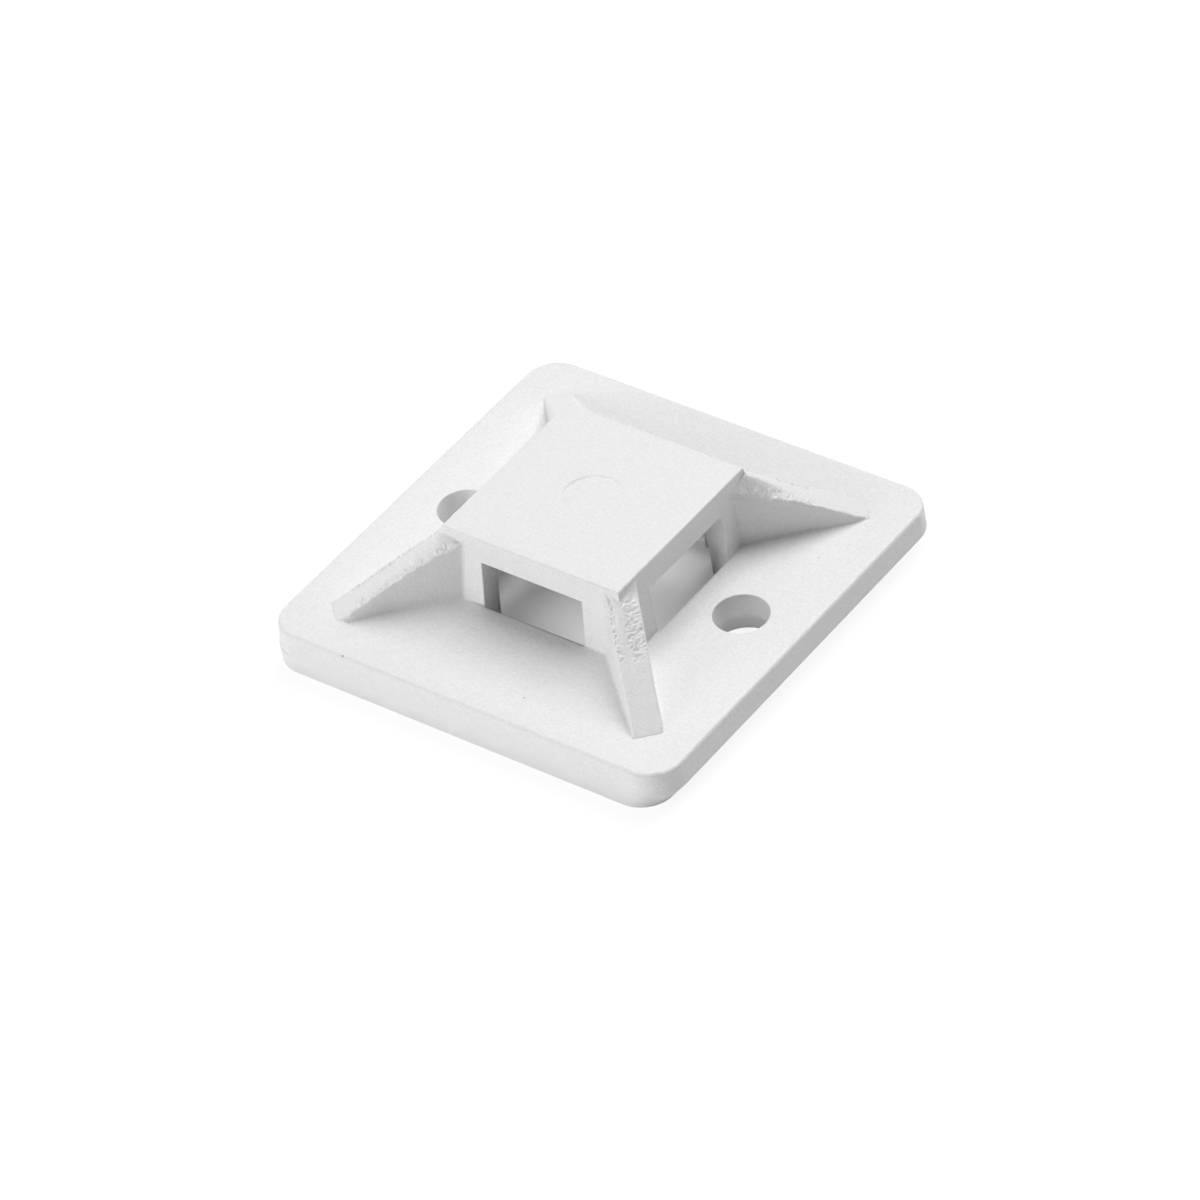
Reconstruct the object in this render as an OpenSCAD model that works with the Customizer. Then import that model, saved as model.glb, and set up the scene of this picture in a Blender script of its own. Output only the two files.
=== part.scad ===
// Four-way cable tie mount on a foam adhesive pad, with two screw holes.
// A square base plate carries a hollow saddle block.  The block is open on all
// four sides, so a tie can be threaded under its roof either way, and a rib
// runs from each corner of the block down to a corner of the plate.
// Millimetres, +Z up, origin at the centre of the face that sits on the wall.

/* [Base plate] */
// Width of the square plate across its lower edges
base_w = 28; // [24:0.5:36]
// Thickness of the plate
base_h = 1.6; // [1.2:0.1:2.6]
// Radius of the plate's corners, seen from above
base_corner_r = 2.2; // [1:0.1:4]
// Radius of the rounded upper edge
base_edge_r = 0.25; // [0.1:0.05:0.5]
// Mould draft of the plate's edges, in degrees
base_draft = 3; // [0:0.5:5]

/* [Adhesive pad] */
// Thickness of the foam pad
pad_h = 1.2; // [0.8:0.1:2]
// Margin between the pad and the plate's +Y and -Y edges
pad_side_margin = 0.1; // [0.05:0.05:0.5]
// Margin between the pad and the plate's -X edge
pad_near_margin = 0.05; // [0.05:0.05:0.5]
// Margin between the pad and the plate's +X edge, where the pad is stuck short
pad_far_margin = 0.95; // [0.05:0.05:1.5]
// Radius of the pad's corners
pad_corner_r = 2; // [1:0.1:4]
// Diameter of the pad's clearance holes under the screw holes
pad_hole_d = 4; // [3.6:0.1:4.6]
// Margin of the pad's square window round the foot of the block
pad_window_gap = 0.3; // [0.1:0.05:1]

/* [Saddle block] */
// Width of the block where it meets the plate
block_w = 13; // [12:0.1:14]
// Height of the block above the plate
block_h = 4.8; // [4:0.1:6]
// Thickness of the roof over the tie passage
roof_h = 1.7; // [1.2:0.1:2]
// Thickness of the block's walls where they meet the plate
wall_t = 1.35; // [1:0.05:1.6]
// Mould draft of the block's outer and inner walls, in degrees
block_draft = 3.8; // [0:0.1:5]
// Radius of the roof's upper edges
roof_edge_r = 0.15; // [0.05:0.05:0.4]
// Width of the window in each wall
window_w = 7; // [5:0.1:7.6]

/* [Corner ribs] */
// Width of a rib along its upper face
rib_w = 1.6; // [1.2:0.1:2]
// Mould draft of a rib's sides, in degrees
rib_draft = 4; // [0:0.5:6]
// Distance from the centre of the mount to a rib's outer end
rib_reach = 15.6; // [13:0.1:16]
// Depth of a rib's upper end below the top of the block
rib_drop = 0.85; // [0.3:0.05:1.5]
// Height of a rib's blunt outer end above the plate
rib_end_h = 0.15; // [0.1:0.05:0.6]

/* [Screw holes] */
// Diameter of the two screw holes
hole_d = 3.3; // [2.5:0.1:3.6]
// Distance between the centres of the screw holes
hole_pitch = 19.5; // [18.5:0.1:20.5]

/* [Ejector mark] */
// Diameter of the round mark on the roof
mark_d = 3.5; // [2:0.1:5]
// Depth of the mark
mark_depth = 0.05; // [0.02:0.01:0.15]

/* [Hidden] */
$fn = 64;

// Overshoot of every cutter past the face that it opens
cut = 1;
// Depth to which a joined part is sunk into the one that carries it
sink = 0.4;
// Arc steps of a rounded edge
edge_steps = 6;

plate_top = pad_h + base_h;
roof_top = plate_top + block_h;
window_top = roof_top - roof_h;
block_top_w = block_w - 2 * block_h * tan(block_draft);
cavity_w = block_w - 2 * wall_t;
cavity_top_w = cavity_w - 2 * (window_top - plate_top) * tan(block_draft);
cavity_foot_w = cavity_w + 2 * base_h * tan(block_draft);
rib_root = cavity_w / sqrt(2) + sink;
rib_top_z = roof_top - rib_drop;
rib_top_reach = block_top_w / sqrt(2);
rib_end_z = plate_top + rib_end_h;
pad_w = base_w - 2 * pad_side_margin;
pad_len = base_w - pad_near_margin - pad_far_margin;
pad_middle = (pad_near_margin - pad_far_margin) / 2;
rib_slope = atan((rib_top_z - rib_end_z) / (rib_reach - rib_top_reach));

// Half profile of a plate or disc with leaning sides and a rounded upper edge
function rounded_edge(half_w, low, high, draft, r) =
    let (top_w = half_w - (high - low) * tan(draft))
    concat(
        [[half_w, low]],
        [for (i = [0 : edge_steps])
            let (a = draft + (90 - draft) * i / edge_steps)
            [top_w - r + r * cos(a), high - r + r * sin(a)]]
    );

// The same profile on both sides of the middle, as one closed outline
function both_sides(p) =
    concat(p, [for (i = [len(p) - 1 : -1 : 0]) [-p[i][0], p[i][1]]]);

// Prism with its profile in the XZ plane, centred along Y
module prism_y(length, points) {
    rotate([90, 0, 0])
        linear_extrude(height = length, center = true) polygon(points);
}

// Pyramid-like block whose four sides have one profile
module four_sided(width, points) {
    intersection() {
        prism_y(width, points);
        rotate([0, 0, 90]) prism_y(width, points);
    }
}

// Puts one copy at each screw hole
module at_screw_holes() {
    for (side = [-1, 1]) translate([side * hole_pitch / 2, 0, 0]) children();
}

// Puts one copy on each diagonal, pointing outwards along X
module on_diagonals() {
    for (i = [0 : 3]) rotate([0, 0, 45 + 90 * i]) children();
}

// Square plate with round corners and a rounded upper edge
module base_plate() {
    straight = base_w - 2 * base_corner_r;
    side_profile = both_sides(
        rounded_edge(base_w / 2, pad_h, plate_top, base_draft, base_edge_r));
    corner_profile = concat(
        [[0, pad_h]],
        rounded_edge(base_corner_r, pad_h, plate_top, base_draft, base_edge_r),
        [[0, plate_top]]);
    prism_y(straight, side_profile);
    rotate([0, 0, 90]) prism_y(straight, side_profile);
    for (x = [-1, 1], y = [-1, 1])
        translate([x * straight / 2, y * straight / 2, 0])
            rotate_extrude() polygon(corner_profile);
}

// Outer form of the saddle block, with its roof
module block() {
    four_sided(block_w, both_sides(concat(
        [[block_w / 2, plate_top - sink]],
        rounded_edge(block_w / 2, plate_top, roof_top, block_draft, roof_edge_r))));
}

// Rib from a corner of the block to the corner of the plate
module rib() {
    run = rib_reach + block_w;
    depth = block_h + sink;
    spread = depth * tan(rib_draft);
    intersection() {
        // side view of the rib
        rotate([90, 0, 0])
            linear_extrude(height = block_w, center = true)
                polygon([[rib_root, plate_top - sink],
                         [rib_reach, plate_top - sink],
                         [rib_reach, roof_top],
                         [rib_root, roof_top]]);
        // wedge-shaped section, laid along the sloping upper face
        translate([rib_reach, 0, rib_end_z])
            rotate([0, rib_slope, 0])
                rotate([90, 0, -90])
                    linear_extrude(height = run)
                        polygon([[-rib_w / 2, 0], [rib_w / 2, 0],
                                 [rib_w / 2 + spread, -depth],
                                 [-rib_w / 2 - spread, -depth]]);
    }
}

// Hollow under the roof, open at the bottom
module cavity() {
    foot = pad_h - cut;
    foot_w = cavity_foot_w + 2 * cut * tan(block_draft);
    four_sided(foot_w, both_sides([[foot_w / 2, foot],
                                   [cavity_top_w / 2, window_top]]));
}

// Passage for the tie through two facing walls, and the slots below its windows
module tie_passage() {
    translate([-window_w / 2, -block_w / 2 - cut, plate_top])
        cube([window_w, block_w + 2 * cut, window_top - plate_top]);
    translate([-window_w / 2, -block_w / 2, pad_h - cut])
        cube([window_w, block_w, base_h + cut + sink]);
}

// Moulded nylon mount, in one piece
module mount_body() {
    color("whitesmoke")
    difference() {
        union() {
            base_plate();
            block();
            on_diagonals() rib();
        }
        cavity();
        for (turn = [0, 90]) rotate([0, 0, turn]) tie_passage();
        at_screw_holes()
            translate([0, 0, pad_h - cut]) cylinder(d = hole_d, h = base_h + 2 * cut);
        translate([0, 0, roof_top - mark_depth])
            cylinder(d = mark_d, h = mark_depth + cut);
    }
}

// Foam pad with adhesive on both faces
module adhesive_pad() {
    window = block_w + 2 * pad_window_gap;
    color("white")
    difference() {
        translate([pad_middle, 0, 0]) {
            linear_extrude(height = pad_h)
                square([pad_len - 2 * pad_corner_r, pad_w], center = true);
            linear_extrude(height = pad_h)
                square([pad_len, pad_w - 2 * pad_corner_r], center = true);
            for (x = [-1, 1], y = [-1, 1])
                translate([x * (pad_len / 2 - pad_corner_r),
                           y * (pad_w / 2 - pad_corner_r), 0])
                    cylinder(r = pad_corner_r, h = pad_h);
        }
        translate([-window / 2, -window / 2, -cut])
            cube([window, window, pad_h + 2 * cut]);
        at_screw_holes()
            translate([0, 0, -cut]) cylinder(d = pad_hole_d, h = pad_h + 2 * cut);
    }
}

mount_body();
adhesive_pad();
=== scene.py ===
"""Cable tie mount: white moulded nylon on a foam adhesive pad, on a pale studio floor.

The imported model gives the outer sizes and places, and the smaller sizes repeat
those of its solids. The moulding is finished from a merged copy of its solid:
rolled edges, small fillets, flash along the ribs and a ring groove round the
ejector mark. Metres, +Z up.
"""
import math

import bmesh
import bpy
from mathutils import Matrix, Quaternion, Vector, noise


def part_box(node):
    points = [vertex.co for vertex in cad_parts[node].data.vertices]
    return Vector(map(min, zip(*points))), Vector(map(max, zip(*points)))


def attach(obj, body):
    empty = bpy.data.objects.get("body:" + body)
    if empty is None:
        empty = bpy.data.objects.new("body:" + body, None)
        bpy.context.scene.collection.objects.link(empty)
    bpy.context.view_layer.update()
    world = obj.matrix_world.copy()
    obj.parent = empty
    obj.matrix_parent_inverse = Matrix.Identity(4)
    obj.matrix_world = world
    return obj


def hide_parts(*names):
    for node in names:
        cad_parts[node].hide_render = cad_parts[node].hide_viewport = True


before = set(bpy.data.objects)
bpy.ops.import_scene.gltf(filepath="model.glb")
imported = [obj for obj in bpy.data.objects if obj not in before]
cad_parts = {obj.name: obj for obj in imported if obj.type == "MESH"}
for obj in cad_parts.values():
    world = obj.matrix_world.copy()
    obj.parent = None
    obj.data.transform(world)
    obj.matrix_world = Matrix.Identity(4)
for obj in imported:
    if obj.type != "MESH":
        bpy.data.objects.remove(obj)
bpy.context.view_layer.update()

MM = 0.001
HAIR = 0.001 * MM
SLIVER = 0.01 * MM

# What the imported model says
PAD_LOW, PAD_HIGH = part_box("adhesive_pad")
BODY_LOW, BODY_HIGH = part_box("mount_body")
ROOF_Z = BODY_HIGH.z

# The moulding's own sizes, as its solid has them
PLATE_TOP = 2.8 * MM
ROOF_HALF = 6.18 * MM
RIB_HALF = 0.8 * MM
RIB_LEAN = math.tan(math.radians(4.0))
RIB_START = ROOF_HALF * math.sqrt(2)
RIB_START_Z = ROOF_Z - 0.85 * MM
RIB_END = 15.6 * MM
RIB_END_Z = PLATE_TOP + 0.15 * MM
RIB_SLOPE = (RIB_START_Z - RIB_END_Z) / (RIB_END - RIB_START)
MARK_RADIUS = 1.75 * MM
MARK_DEPTH = 0.05 * MM
WINDOW_HALF = 3.5 * MM

# Merging a copied solid, so that its flat faces are whole again
MERGE_WITHIN = 0.002 * MM
FLAT_TURN = math.radians(1.0)

# Rolled edges and fillets
RIB_TOP_ROUND = 0.12 * MM
WINDOW_ROUND = 0.07 * MM
RIB_END_ROUND = 0.06 * MM
FOOT_FILLET = 0.16 * MM
WALL_FILLET = 0.16 * MM
ROUND_STEPS = 3
SHARP_TURN = math.radians(28)

# Shading: the turn up to which faces shade as one, and how much the larger faces count
BODY_SMOOTH = math.radians(45)
PAD_SMOOTH = math.radians(40)
FLAT_WEIGHT = 80

# Where each kind of edge is found
PASSAGE_HALF = WINDOW_HALF + 1.6 * MM
ROOF_ZONE_Z = PLATE_TOP + 4.5 * MM
RIB_END_ZONE = 0.1 * MM
RIB_TOP_FROM = RIB_START - 1.0 * MM
RIB_TOP_HALF = RIB_HALF + 0.3 * MM
RIB_TOP_RISE = 2 * MM
CORNER_HALF = 0.05 * MM
CORNER_Z = RIB_START_Z - 0.1 * MM

# How the ribs are cut up before their flash is shaped, and which faces are cut
ROW_STEP = 0.16 * MM
ROUGH_ROW_STEP = 0.05 * MM
STRIP_STEP = 0.05 * MM
CUT_FROM = RIB_START - 0.9 * MM
CUT_HALF = RIB_HALF + 0.55 * MM
CUT_TOP = RIB_START_Z + 0.5 * MM
STRIP_DEPTH = 0.2 * MM
STRIP_FACING = 0.6
FACING_UP = 0.9

# Ribs: which way each runs out, and its +side. Sizes are in mm. A pair is for the -side and
# the +side, but swell is how far the +side stands out, beside the block and at the tip.
# lip is the height of an edge's flash, and lift that of the top's middle beside the block.
# crinkle is the height of the rough skin, up to rough_to from the middle, over the whole
# +half or on the lips alone. shoulder is how deep an edge is rolled by the block.
RIBS = (
    {"out": (1, -1), "side": (1, 1), "swell": (0.34, 0.12), "lip": (0.06, 0.05), "lift": 0.32,
     "crinkle": 0.12, "rough_to": 12.2, "rough_half": True, "shoulder": (0.0, 0.0)},
    {"out": (-1, -1), "side": (1, -1), "swell": (0.28, 0.30), "lip": (0.0, 0.20), "lift": 0.25,
     "crinkle": 0.16, "rough_to": 15.0, "rough_half": False, "shoulder": (0.0, 0.2)},
    {"out": (1, 1), "side": (1, -1), "swell": (0.24, 0.14), "lip": (0.0, 0.06), "lift": 0.45,
     "crinkle": 0.13, "rough_to": 13.0, "rough_half": False, "shoulder": (0.0, 0.75)},
    {"out": (-1, 1), "side": (1, 1), "swell": (0.0, 0.0), "lip": (0.0, 0.0), "lift": 0.30,
     "crinkle": 0.02, "rough_to": 10.0, "rough_half": False, "shoulder": (0.2, 0.0)},
)

# Which points belong to a rib
SHAPE_FROM = RIB_START - 1.4 * MM
SHAPE_TO = RIB_END + 0.1 * MM
SHAPE_BESIDE = WALL_FILLET * 1.4
SHAPE_BELOW_ROOF = 0.16 * MM

# Heights from a rib's top line between which its top begins and the block's wall takes over
TOP_FROM = 0.35 * MM
TOP_ALL = 0.12 * MM
WALL_FROM = 0.10 * MM
WALL_ALL = 0.5 * MM

# Swell, lift and rolled shoulders, the foot that goes with the swell, and the rib's tip
RIDGE_HALF = 0.1 * MM
SWELL_FROM = 0.3 * MM
SHOULDER_END = 11.8 * MM
LIFT_CLEAR = 0.2 * MM
LIFT_FADE = 0.65 * MM
FOOT_SLIDE_START = 12.0 * MM
FOOT_SLIDE_END = 15.0 * MM
TIP_ROLL = 0.7 * MM
TIP_PINCH = 0.8
TIP_SINK_START = 12.0 * MM

# Flash lips: their width, where they crest and begin, and how they wave, per metre
LIP_WIDTH = 0.40 * MM
LIP_CREST = 0.05 * MM
LIP_START = RIB_START - 0.2 * MM
LIP_FULL = RIB_START + 1.0 * MM
LIP_WAVES = 1800
LIP_WAVE_HEIGHT = 0.7
LIPS_APART = 7.0

# Crinkled skin: two layers of noise, per metre, and where they fade
SKIN_COARSE = 8500
SKIN_FINE = 13000
SKIN_FINE_SHARE = 0.6
ROUGH_FADE = 0.8
RIM_WIDTH = 0.50 * MM
RIM_FULL = 0.25 * MM
ROUGH_HALF_FROM = -0.1 * MM
ROUGH_HALF_FULL = 0.15 * MM
CALM_EDGE = 0.10 * MM
CALM_FULL = 0.02 * MM
CALM_SHARE = 0.75

# Ring left on the roof by the ejector pin. An arc is its direction, how narrow it is, its
# least strength and what it adds at its deepest. The strength also wavers as it goes round.
# The disc inside the ring stays DISC_LEFT below the roof.
RING_OUTER = 1.86 * MM
RING_WIDTH = 0.26 * MM
RING_DEPTH = 0.10 * MM
RING_ARCS = ((168, 3, 0.12, 0.88), (100, 8, 0.0, 0.7), (-48, 20, 0.0, 1.0))
RING_WAVES = 3
RING_EVEN = 0.8
RING_UNEVEN = 0.5
RING_CRISP_DEPTH = 0.1 * MM
DISC_LEFT = 0.004 * MM

# Foam pad: how its top is drawn out to the plate's wall. The right wall leans out round the
# front corner alone, and is upright again at DRAWN_TO.
PAD_ROWS = 3
PLATE_EDGE = BODY_LOW.x + SLIVER
RIM_START = 12.5 * MM
PAD_CORNER = 2.0 * MM
PLATE_CORNER = 2.2 * MM
DRAWN_TO = -9.0 * MM

# Floor, a hair below the pad. It is seen as white outside the mount's open middle. Inside it
# the floor carries a painted pool of light, whose glow is brightest at its middle and fades
# out to its reach.
FLOOR_SIZE = 6.0
FLOOR_GAP = 0.02 * MM
FLOOR_OPENING = 6.8 * MM
PAINTED_POOL_MIDDLE = Vector((1.4, -3.5, 0.0)) * MM
PAINTED_POOL_REACH = 5.8 * MM
PAINTED_POOL_AT_MIDDLE = 0.52
PAINTED_POOL_FAR = 0.04

# Soft boxes: azimuth from the front, elevation and power
LAMPS = {
    "behind_high": (180, 60, 2.86),
    "behind": (180, 35, 0.90),
    "front_left": (-32, 18, 1.90),
    "front": (0, 35, 0.70),
}
LAMP_DISTANCE = 0.6
LAMP_SIZE = 0.45
ROOM_LIGHT = 0.01

# Camera
CAMERA_AZIMUTH = 40.70
CAMERA_ELEVATION = 40.49
CAMERA_ROLL = -8.06
CAMERA_DISTANCE = 367.2 * MM
CAMERA_AIM = Vector((0.66, -1.36, 1.09)) * MM
CAMERA_LENS = 192.66


# ---------------------------------------------------------------- helpers

def deselect_all():
    """Leaves nothing selected, so that the next operator acts on one piece."""
    if bpy.context.object and bpy.context.object.mode != "OBJECT":
        bpy.ops.object.mode_set(mode="OBJECT")
    bpy.ops.object.select_all(action="DESELECT")


def make_active(piece):
    """Selects one piece alone and makes it active."""
    deselect_all()
    piece.select_set(True)
    bpy.context.view_layer.objects.active = piece


def copy_of_node(node, name):
    """A merged copy of a CAD solid, with its flat faces whole again."""
    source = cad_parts[node]
    mesh = source.data.copy()
    mesh.transform(source.matrix_world)
    mesh.materials.clear()
    mesh.name = name
    piece = bpy.data.objects.new(name, mesh)
    bpy.context.scene.collection.objects.link(piece)
    make_active(piece)
    bpy.ops.object.mode_set(mode="EDIT")
    bpy.ops.mesh.select_all(action="SELECT")
    bpy.ops.mesh.remove_doubles(threshold=MERGE_WITHIN)
    bpy.ops.mesh.dissolve_limited(angle_limit=FLAT_TURN, delimit=set())
    bpy.ops.mesh.normals_make_consistent(inside=False)
    bpy.ops.object.mode_set(mode="OBJECT")
    return piece


def share_between(low, high, value):
    """0 below low, 1 above high, and a straight rise between them."""
    return min(max((value - low) / (high - low), 0.0), 1.0)


def smooth_step(low, high, value):
    """0 below low, 1 above high, and a smooth rise between them."""
    share = share_between(low, high, value)
    return share * share * (3 - 2 * share)


def near(value, target, reach=SLIVER):
    """Whether a size is as good as another."""
    return abs(value - target) < reach


def direction(azimuth, elevation):
    """Unit vector from the mount, with the azimuth measured from its front."""
    a, e = math.radians(azimuth), math.radians(elevation)
    return Vector((math.sin(a) * math.cos(e), -math.cos(a) * math.cos(e), math.sin(e)))


# -------------------------------------------------------------- materials

def new_material(name):
    """A material, its nodes, its links and its shader."""
    material = bpy.data.materials.new(name)
    material.use_nodes = True
    nodes = material.node_tree.nodes
    return material, nodes, material.node_tree.links, nodes["Principled BSDF"]


def add_noise(nodes, links, place, scale, detail):
    """A noise pattern fixed to the piece."""
    pattern = nodes.new("ShaderNodeTexNoise")
    pattern.inputs["Scale"].default_value = scale
    pattern.inputs["Detail"].default_value = detail
    links.new(place.outputs["Object"], pattern.inputs["Vector"])
    return pattern.outputs["Fac"]


def add_cells(nodes, links, place, scale):
    """A pattern of cells fixed to the piece, by the distance from each one's middle."""
    pattern = nodes.new("ShaderNodeTexVoronoi")
    pattern.inputs["Scale"].default_value = scale
    links.new(place.outputs["Object"], pattern.inputs["Vector"])
    return pattern.outputs["Distance"]


def add_greys(nodes, links, pattern, low, high):
    """Greys from a pattern: low and high are each a place on it and the grey there."""
    ramp = nodes.new("ShaderNodeValToRGB")
    for stop, (position, grey) in enumerate((low, high)):
        ramp.color_ramp.elements[stop].position = position
        ramp.color_ramp.elements[stop].color = (grey, grey, grey, 1)
    links.new(pattern, ramp.inputs["Fac"])
    return ramp.outputs["Color"]


def add_bump(nodes, links, height, strength, distance, over=None):
    """A bump from a height, on top of another bump where there is one."""
    bump = nodes.new("ShaderNodeBump")
    bump.inputs["Strength"].default_value = strength
    bump.inputs["Distance"].default_value = distance
    links.new(height, bump.inputs["Height"])
    if over:
        links.new(over, bump.inputs["Normal"])
    return bump.outputs["Normal"]


def add_math(nodes, links, operation, *terms):
    """One step of arithmetic, on other nodes' outputs and plain numbers."""
    node = nodes.new("ShaderNodeMath")
    node.operation = operation
    for socket, term in zip(node.inputs, terms):
        if isinstance(term, float):
            socket.default_value = term
        else:
            links.new(term, socket)
    return node.outputs["Value"]


def moulded_nylon():
    """White nylon: satin, with a fine mould grain, cloudy tone and a few dark specks."""
    material, nodes, links, shader = new_material("white_nylon")
    shader.inputs["Roughness"].default_value = 0.42
    place = nodes.new("ShaderNodeTexCoord")

    cloud = add_noise(nodes, links, place, 8000, 2)
    tone = add_greys(nodes, links, cloud, (0.3, 0.84), (0.7, 0.925))
    speck_cells = add_cells(nodes, links, place, 410)
    speck = add_greys(nodes, links, speck_cells, (0.015, 0.5), (0.04, 1))
    mix = nodes.new("ShaderNodeMix")
    mix.data_type = "RGBA"
    mix.blend_type = "MULTIPLY"
    mix.inputs["Factor"].default_value = 1.0
    links.new(tone, mix.inputs["A"])
    links.new(speck, mix.inputs["B"])
    links.new(mix.outputs["Result"], shader.inputs["Base Color"])

    fine = add_noise(nodes, links, place, 9000, 2)
    coarse = add_noise(nodes, links, place, 1500, 1)
    waves = add_bump(nodes, links, coarse, 0.5, 0.02 * MM)
    grain = add_bump(nodes, links, fine, 1.0, 0.03 * MM, waves)
    links.new(grain, shader.inputs["Normal"])
    return material


def pad_foam():
    """White closed-cell foam: matt, with very small soft cells."""
    material, nodes, links, shader = new_material("white_foam")
    shader.inputs["Roughness"].default_value = 0.8
    shader.inputs["Specular IOR Level"].default_value = 0.3
    place = nodes.new("ShaderNodeTexCoord")
    cloud = add_noise(nodes, links, place, 500, 2)
    tone = add_greys(nodes, links, cloud, (0.3, 0.885), (0.7, 0.915))
    links.new(tone, shader.inputs["Base Color"])
    cells = add_cells(nodes, links, place, 5500)
    pores = add_bump(nodes, links, cells, 0.25, 0.02 * MM)
    links.new(pores, shader.inputs["Normal"])
    return material


def white_floor_and_painted_pool(nodes, links):
    """Glow of the floor: full round the open middle, and inside it a painted pool of light
    that fades out.
    """
    place = nodes.new("ShaderNodeTexCoord")
    axes = nodes.new("ShaderNodeSeparateXYZ")
    links.new(place.outputs["Object"], axes.inputs["Vector"])
    past = []
    for axis in ("X", "Y"):
        size = add_math(nodes, links, "ABSOLUTE", axes.outputs[axis])
        past.append(add_math(nodes, links, "GREATER_THAN", size, FLOOR_OPENING))
    outside = add_math(nodes, links, "MAXIMUM", past[0], past[1])
    away = nodes.new("ShaderNodeVectorMath")
    away.operation = "DISTANCE"
    away.inputs[1].default_value = PAINTED_POOL_MIDDLE
    links.new(place.outputs["Object"], away.inputs[0])
    # Painted pool of light: inside the open middle the floor's glow fades with distance from
    # one spot under the mount.
    inside = nodes.new("ShaderNodeMapRange")
    inside.inputs["From Max"].default_value = PAINTED_POOL_REACH
    inside.inputs["To Min"].default_value = PAINTED_POOL_AT_MIDDLE
    inside.inputs["To Max"].default_value = PAINTED_POOL_FAR
    links.new(away.outputs["Value"], inside.inputs["Value"])
    return add_math(nodes, links, "MAXIMUM", outside, inside.outputs["Result"])


def studio_floor():
    """Pale floor that the camera sees as white, with the object's soft shadow on it and a
    painted pool of light under the mount's open middle.
    """
    material, nodes, links, shader = new_material("studio_floor")
    shader.inputs["Base Color"].default_value = (0.9, 0.9, 0.9, 1)
    shader.inputs["Roughness"].default_value = 1.0
    shader.inputs["Specular IOR Level"].default_value = 0.0
    paper = nodes.new("ShaderNodeBsdfDiffuse")
    paper.inputs["Color"].default_value = (0.17, 0.17, 0.17, 1)
    glow = nodes.new("ShaderNodeEmission")
    glow.inputs["Strength"].default_value = 0.88
    seen = nodes.new("ShaderNodeAddShader")
    links.new(paper.outputs["BSDF"], seen.inputs[0])
    links.new(glow.outputs["Emission"], seen.inputs[1])
    path = nodes.new("ShaderNodeLightPath").outputs
    direct = add_math(nodes, links, "MAXIMUM", path["Is Camera Ray"], path["Is Glossy Ray"])
    either = add_math(nodes, links, "MAXIMUM", direct, path["Is Transmission Ray"])
    share = add_math(nodes, links, "MULTIPLY", either, white_floor_and_painted_pool(nodes, links))
    choose = nodes.new("ShaderNodeMixShader")
    links.new(share, choose.inputs["Fac"])
    links.new(shader.outputs["BSDF"], choose.inputs[1])
    links.new(seen.outputs["Shader"], choose.inputs[2])
    links.new(choose.outputs["Shader"], nodes["Material Output"].inputs["Surface"])
    return material


# --------------------------------------------------------------- moulding

def edge_round(edge):
    """How wide an edge is rolled or filleted, 0 where it stays crisp."""
    middle = (edge.verts[0].co + edge.verts[1].co) / 2
    along = max(abs(middle.x + middle.y), abs(middle.x - middle.y)) / math.sqrt(2)
    across = min(abs(middle.x + middle.y), abs(middle.x - middle.y)) / math.sqrt(2)
    rise = abs(edge.verts[1].co.z - edge.verts[0].co.z)
    on_mark = middle.z > ROOF_ZONE_Z and middle.xy.length < 2 * MARK_RADIUS
    if edge.calc_face_angle() < SHARP_TURN or on_mark or middle.z < PLATE_TOP - SLIVER:
        return 0.0
    if along > RIB_END - RIB_END_ZONE and across < RIB_HALF + RIB_END_ZONE:
        return RIB_END_ROUND
    if not edge.is_convex:
        return FOOT_FILLET if rise < SLIVER else WALL_FILLET
    if along > RIB_TOP_FROM and across < RIB_TOP_HALF and rise > RIB_TOP_RISE:
        return RIB_TOP_ROUND
    if near(across, 0.0, CORNER_HALF) and middle.z > CORNER_Z:
        return 0.0
    return WINDOW_ROUND


def in_reach(edge):
    """Not inside the tie passage, whose inner corners stay as moulded."""
    return all(max(abs(v.co.x), abs(v.co.y)) > PASSAGE_HALF for v in edge.verts)


def roll_the_edges(body):
    """Rolls the outer edges and fillets the inner ones, each to its own width."""
    mesh = body.data
    mesh.attributes.new("bevel_weight_edge", "FLOAT", "EDGE")
    work = bmesh.new()
    work.from_mesh(mesh)
    work.normal_update()
    layer = work.edges.layers.float.get("bevel_weight_edge")
    for edge in work.edges:
        if edge.is_manifold and in_reach(edge):
            edge[layer] = edge_round(edge) / WALL_FILLET
    work.to_mesh(mesh)
    work.free()
    bevel = body.modifiers.new("rolled_edges", "BEVEL")
    bevel.limit_method = "WEIGHT"
    bevel.width = WALL_FILLET
    bevel.segments = ROUND_STEPS
    bevel.use_clamp_overlap = False
    make_active(body)
    bpy.ops.object.modifier_apply(modifier=bevel.name)


def rib_axes(rib):
    """Unit vectors along a rib and across it."""
    return (Vector((*rib["out"], 0)) / math.sqrt(2), Vector((*rib["side"], 0)) / math.sqrt(2))


def rib_place(rib, point):
    """A point as distance along the rib, distance across it and height."""
    out, side = rib_axes(rib)
    return point.dot(out), point.dot(side), point.z


def rib_top(along):
    """Height of a rib's top line."""
    return RIB_START_Z - RIB_SLOPE * (along - RIB_START)


def cut_rib_faces(body, rib, plane_point, plane_normal, only_top):
    """Draws one edge line across the rib's faces, where a plane meets them."""
    work = bmesh.from_edit_mesh(body.data)
    for face in work.faces:
        along, across, height = rib_place(rib, face.calc_center_median())
        chosen = along > CUT_FROM and abs(across) < CUT_HALF
        chosen = chosen and PLATE_TOP + HAIR < height < CUT_TOP
        if only_top:
            chosen = chosen and face.normal.z > STRIP_FACING
            chosen = chosen and height > rib_top(along) - STRIP_DEPTH
        face.select_set(chosen)
    bmesh.update_edit_mesh(body.data)
    bpy.ops.mesh.bisect(plane_co=plane_point, plane_no=plane_normal, threshold=HAIR)


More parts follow.
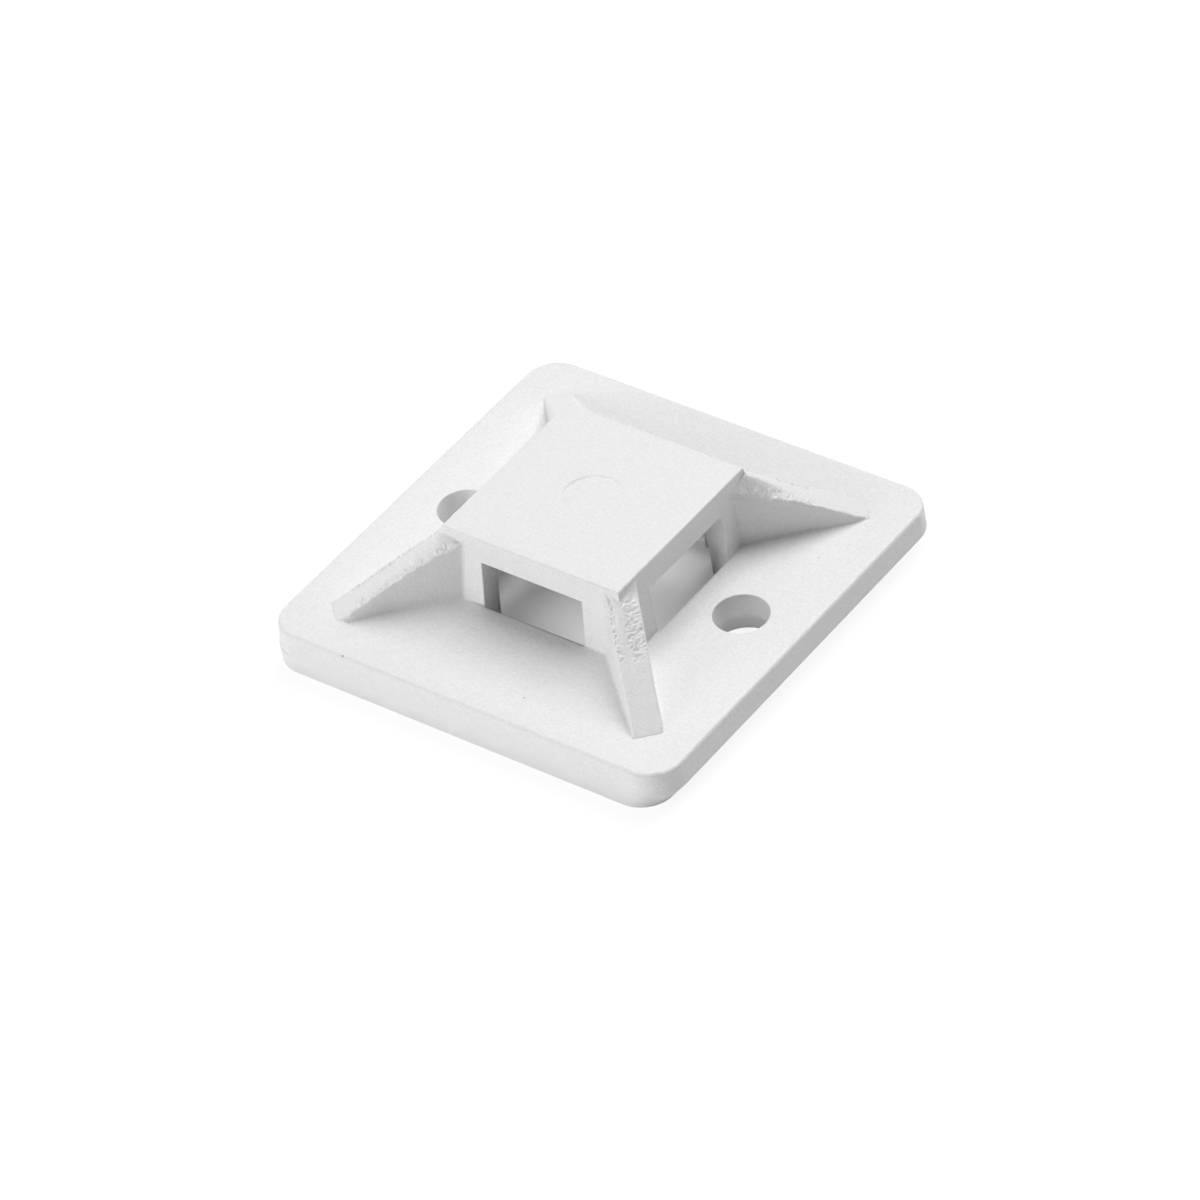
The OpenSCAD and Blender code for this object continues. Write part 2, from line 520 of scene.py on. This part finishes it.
def cut_up_rib(body, rib):
    """Fine rows and strips on one rib, for its flash."""
    out, side = rib_axes(rib)
    make_active(body)
    bpy.ops.object.mode_set(mode="EDIT")
    bpy.ops.mesh.select_mode(type="FACE")
    strips = int((RIB_HALF - RIB_TOP_ROUND) / STRIP_STEP)
    for strip in range(-strips, strips + 1):
        cut_rib_faces(body, rib, side * strip * STRIP_STEP, side, True)
    along = RIB_START
    while along < RIB_END - 2 * ROW_STEP:
        along += ROUGH_ROW_STEP if along < rib["rough_to"] * MM else ROW_STEP
        cut_rib_faces(body, rib, out * along, out, False)
    bpy.ops.object.mode_set(mode="OBJECT")


def on_rib(along, across, height):
    """Whether a point is on a rib, and not on the plate under it or the roof."""
    beside = abs(across) - RIB_HALF - RIB_LEAN * max(rib_top(along) - height, 0.0)
    in_plan = SHAPE_FROM <= along <= SHAPE_TO and beside <= SHAPE_BESIDE
    return in_plan and PLATE_TOP - HAIR <= height <= ROOF_Z - SHAPE_BELOW_ROOF


def side_slide(rib, along, across, height):
    """Move of a point of the +side that swells it; its foot moves only near the rib's tip."""
    outward = share_between(RIB_START, RIB_END, along)
    swell = (rib["swell"][0] * (1 - outward) + rib["swell"][1] * outward) * MM
    foot = smooth_step(FOOT_SLIDE_START, FOOT_SLIDE_END, along)
    swell *= foot + (1 - foot) * share_between(PLATE_TOP, rib_top(along), height)
    swell *= smooth_step(SWELL_FROM, RIB_HALF, across)
    swell *= 1 - TIP_PINCH * smooth_step(RIB_END - TIP_ROLL, RIB_END, along)
    slide = Vector((0, 0, 0))
    for axis in (0, 1):
        if rib["out"][axis] * rib["side"][axis] < 0:
            slide[axis] = rib["side"][axis] * math.sqrt(2) * swell
    return slide


def lip_height(rib, along, across):
    """Height of the wavy flash along one edge of the top."""
    which = 1 if across > 0 else 0
    crest = smooth_step(RIB_HALF - LIP_WIDTH, RIB_HALF - LIP_CREST, abs(across))
    wave = noise.noise(Vector((along * LIP_WAVES, LIPS_APART * which, rib["out"][0])))
    begun = smooth_step(LIP_START, LIP_FULL, along)
    return rib["lip"][which] * MM * crest * (LIP_WAVE_HEIGHT + LIP_WAVE_HEIGHT * wave) * begun


def crinkle_height(rib, along, across, point):
    """Height of the rough skin, calmer at the very edge."""
    rough = 1 - smooth_step((rib["rough_to"] - ROUGH_FADE) * MM, rib["rough_to"] * MM, along)
    rim = smooth_step(RIB_HALF - RIM_WIDTH, RIB_HALF - RIM_FULL, abs(across))
    half = smooth_step(ROUGH_HALF_FROM, ROUGH_HALF_FULL, across) * rib["rough_half"]
    skin = noise.noise(point * SKIN_COARSE) + SKIN_FINE_SHARE * noise.noise(point * SKIN_FINE)
    calm = smooth_step(RIB_HALF - CALM_EDGE, RIB_HALF - CALM_FULL, abs(across))
    return rib["crinkle"] * MM * skin * rough * max(rim, half) * (1 - CALM_SHARE * calm)


def shape_rib(body, rib):
    """Swollen edges, rolled shoulders, flash lips and crinkled skin on one rib."""
    for vertex in body.data.vertices:
        along, across, height = rib_place(rib, vertex.co)
        if not on_rib(along, across, height):
            continue
        top = rib_top(along)
        if across > 0:
            vertex.co += side_slide(rib, along, across, height)
        if height < PLATE_TOP + HAIR:
            continue

        on_top = smooth_step(top - TOP_FROM, top - TOP_ALL, height)
        off_wall = 1 - smooth_step(top + WALL_FROM, top + WALL_ALL, height)
        by_block = 1 - smooth_step(RIB_START, SHOULDER_END, along)
        edge_share = smooth_step(RIDGE_HALF, RIB_HALF, abs(across))
        lift = rib["lift"] * MM * by_block * on_top * (1 - edge_share)
        lift *= share_between(0.0, LIFT_FADE, ROOF_Z - LIFT_CLEAR - height)
        roll = share_between(RIDGE_HALF, RIB_HALF, abs(across)) ** 2
        fall = rib["shoulder"][1 if across > 0 else 0] * MM * by_block * roll * on_top
        crinkle = crinkle_height(rib, along, across, vertex.co) * on_top * off_wall
        lip = lip_height(rib, along, across) * on_top * off_wall
        end_roll = smooth_step(RIB_END - TIP_ROLL, RIB_END, along)
        vertex.co.z += (lift - fall + crinkle + lip) * (1 - end_roll)

        sink = share_between(TIP_SINK_START, RIB_END, along)
        sink *= share_between(PLATE_TOP, top, height)
        vertex.co.z -= (RIB_END_Z - PLATE_TOP) * sink
        vertex.co.z = max(vertex.co.z, PLATE_TOP)


def ring_strength(turn):
    """How deep the ring is pressed in one direction, as a share of its depth."""
    strength = 0.0
    for middle, narrowness, least, more in RING_ARCS:
        facing = max(math.cos(turn - math.radians(middle)), 0)
        strength = max(strength, least + more * facing ** narrowness)
    wave = noise.noise(Vector((turn * RING_WAVES, 0, 0)))
    return strength * (RING_EVEN + RING_UNEVEN * wave)


def shape_ejector_ring(body):
    """Turns the shallow disc on the roof into a thin uneven ring groove."""
    make_active(body)
    bpy.ops.object.mode_set(mode="EDIT")
    bpy.ops.mesh.select_mode(type="FACE")
    work = bmesh.from_edit_mesh(body.data)
    for face in work.faces:
        on_disc = face.normal.z > FACING_UP
        on_disc = on_disc and all(near(v.co.z, ROOF_Z - MARK_DEPTH) for v in face.verts)
        face.select_set(on_disc)
    bmesh.update_edit_mesh(body.data)
    bpy.ops.mesh.inset(thickness=RING_WIDTH, depth=0)
    bpy.ops.object.mode_set(mode="OBJECT")
    for vertex in body.data.vertices:
        radius = vertex.co.xy.length
        below = ROOF_Z - vertex.co.z
        if below > MARK_DEPTH + 2 * SLIVER or radius > MARK_RADIUS + 5 * SLIVER:
            continue
        if radius < MARK_RADIUS - 0.5 * RING_WIDTH:
            vertex.co.z = ROOF_Z - DISC_LEFT
        elif below > 2 * SLIVER:
            turn = math.atan2(vertex.co.y, vertex.co.x)
            vertex.co.z = ROOF_Z - RING_DEPTH * ring_strength(turn)
        else:
            vertex.co.x *= RING_OUTER / radius
            vertex.co.y *= RING_OUTER / radius


def keep_ring_crisp(body):
    """Sharp borders round the ring groove, so that the flat roof doesn't shade over it."""
    work = bmesh.new()
    work.from_mesh(body.data)
    for edge in work.edges:
        in_ring = all(v.co.z > ROOF_Z - RING_CRISP_DEPTH for v in edge.verts)
        in_ring = in_ring and all(v.co.xy.length < RING_OUTER + 2 * SLIVER for v in edge.verts)
        radii = [v.co.xy.length for v in edge.verts]
        if in_ring and near(radii[0], radii[1], 2 * SLIVER):
            edge.smooth = False
    work.to_mesh(body.data)
    work.free()


def finish_body():
    """The moulding: a copy of the solid with rolled edges, flash and an ejector ring."""
    body = copy_of_node("mount_body", "moulded_mount")
    roll_the_edges(body)
    for rib in RIBS:
        cut_up_rib(body, rib)
        shape_rib(body, rib)
    shape_ejector_ring(body)
    make_active(body)
    bpy.ops.object.shade_smooth_by_angle(angle=BODY_SMOOTH)
    keep_ring_crisp(body)
    weighted = body.modifiers.new("flat_faces", "WEIGHTED_NORMAL")
    weighted.weight = FLAT_WEIGHT
    weighted.keep_sharp = True
    bpy.ops.object.modifier_apply(modifier=weighted.name)
    body.data.materials.append(moulded_nylon())
    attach(body, "root")
    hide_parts("mount_body")


# -------------------------------------------------------------------- pad

def cut_across(plane_point, plane_normal):
    """Draws one edge line round the whole piece in edit mode, where a plane meets it."""
    bpy.ops.mesh.select_all(action="SELECT")
    bpy.ops.mesh.bisect(plane_co=plane_point, plane_no=plane_normal, threshold=HAIR)


def draw_out_rim(pad):
    """Leans the cut rim out to the plate's wall, at the front, left and front right."""
    height = PAD_HIGH.z - PAD_LOW.z
    middle_x = PAD_HIGH.x - PAD_CORNER
    middle_y = PAD_LOW.y + PAD_CORNER
    corner = -PLATE_EDGE - PLATE_CORNER
    for vertex in pad.data.vertices:
        share = (vertex.co.z - PAD_LOW.z) / height
        to_front = smooth_step(RIM_START, -PAD_LOW.y, -vertex.co.y)
        to_left = smooth_step(RIM_START, -PAD_LOW.x, -vertex.co.x)
        slide_x = (PLATE_EDGE - PAD_LOW.x) * to_left
        slide_y = (PLATE_EDGE - PAD_LOW.y) * to_front
        slide = Vector((slide_x, slide_y, 0))
        turn = Vector((vertex.co.x - middle_x, vertex.co.y - middle_y, 0))
        if vertex.co.y < middle_y + SLIVER and turn.x > -SLIVER and turn.length > 0:
            slide = Vector((corner, -corner, vertex.co.z)) + turn.normalized() * PLATE_CORNER
            slide -= vertex.co
        vertex.co += slide * share


def sharpen_rim(pad):
    """Sharp edges round the pad's top and underside, so that its walls shade by themselves."""
    for edge in pad.data.edges:
        low, high = sorted(pad.data.vertices[end].co.z for end in edge.vertices)
        on_wall = PAD_LOW.z + SLIVER < low < PAD_HIGH.z - SLIVER
        if near(low, high) and not on_wall:
            edge.use_edge_sharp = True


def finish_pad():
    """The foam pad: a copy of its solid, with its rim drawn out to the plate at the top."""
    pad = copy_of_node("adhesive_pad", "foam_pad")
    make_active(pad)
    bpy.ops.object.mode_set(mode="EDIT")
    for row in range(1, PAD_ROWS):
        level = PAD_LOW.z + (PAD_HIGH.z - PAD_LOW.z) * row / PAD_ROWS
        cut_across((0, 0, level), (0, 0, 1))
    cut_across((0, DRAWN_TO, 0), (0, 1, 0))
    bpy.ops.object.mode_set(mode="OBJECT")
    draw_out_rim(pad)
    make_active(pad)
    bpy.ops.object.shade_smooth_by_angle(angle=PAD_SMOOTH)
    sharpen_rim(pad)
    pad.data.materials.append(pad_foam())
    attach(pad, "root")
    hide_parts("adhesive_pad")


# ------------------------------------------------------------------ stage

def lay_floor():
    """One large floor under the pad."""
    deselect_all()
    bpy.ops.mesh.primitive_plane_add(size=FLOOR_SIZE, location=(0, 0, -FLOOR_GAP))
    floor = bpy.context.object
    floor.name = "floor"
    floor.data.materials.append(studio_floor())


def aim_from(holder, away, distance, middle, roll=0.0):
    """Puts a lamp or camera in one direction from a point, turned to that point."""
    turn = Quaternion((0, 0, 1), roll)
    holder.location = middle + away * distance
    holder.rotation_mode = "QUATERNION"
    holder.rotation_quaternion = (-away).to_track_quat("-Z", "Y") @ turn
    bpy.context.scene.collection.objects.link(holder)


def light_studio():
    """Soft boxes high behind, behind, at the front left and at the front."""
    for name, (azimuth, elevation, power) in LAMPS.items():
        lamp = bpy.data.lights.new(name, "AREA")
        lamp.shape = "SQUARE"
        lamp.size = LAMP_SIZE
        lamp.energy = power
        holder = bpy.data.objects.new(name, lamp)
        aim_from(holder, direction(azimuth, elevation), LAMP_DISTANCE, Vector((0, 0, 0)))
    world = bpy.data.worlds.new("room")
    world.use_nodes = True
    room = world.node_tree.nodes["Background"]
    room.inputs["Color"].default_value = (1, 1, 1, 1)
    room.inputs["Strength"].default_value = ROOM_LIGHT
    bpy.context.scene.world = world


def place_camera():
    """Camera that looks down on the mount from its front right corner."""
    lens = bpy.data.cameras.new("camera")
    lens.sensor_width = 36
    lens.lens = CAMERA_LENS
    lens.clip_start = 0.01
    lens.clip_end = 20
    camera = bpy.data.objects.new("camera", lens)
    back = direction(CAMERA_AZIMUTH, CAMERA_ELEVATION)
    aim_from(camera, back, CAMERA_DISTANCE, CAMERA_AIM, math.radians(CAMERA_ROLL))
    bpy.context.scene.camera = camera


place_camera()
finish_body()
finish_pad()
lay_floor()
light_studio()
bpy.context.scene.view_settings.view_transform = "Standard"
